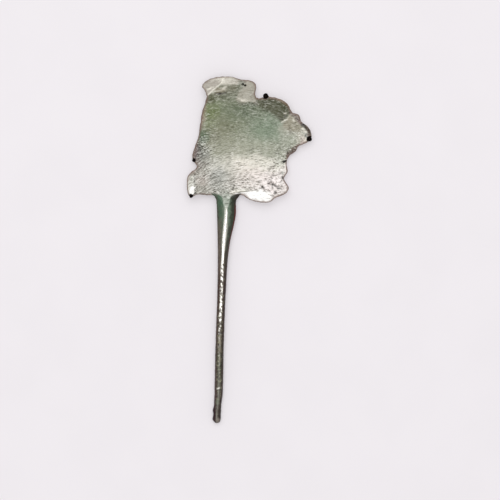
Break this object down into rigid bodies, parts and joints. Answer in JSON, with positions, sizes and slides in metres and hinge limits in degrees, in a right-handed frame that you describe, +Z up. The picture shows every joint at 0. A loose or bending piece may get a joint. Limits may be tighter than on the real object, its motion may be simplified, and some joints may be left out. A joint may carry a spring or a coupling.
{
  "type": "disc-headed pin",
  "caption": "Ancient bronze dress pin lying on its back: a long round shaft with a blunt point, hammered out at one end into a thin dished head with a broken, curled rim.",
  "frame": {"origin": "the middle of the box around the pin as it lies on its back, on the surface that it lies on", "axes": "+Y along the pin from its point to its head, +Z up, away from the surface and out of the dished face, +X to the right of someone who looks down on it with the head away from them"},
  "size_m": [0.0542, 0.15, 0.0064],
  "materials": {
    "patinated_bronze": "grey-green patina with cream and brown patches, still glossy on the worn metal"
  },
  "bodies": {
    "root": {"disc_headed_pin": "patinated_bronze"}
  },
  "joints": []
}
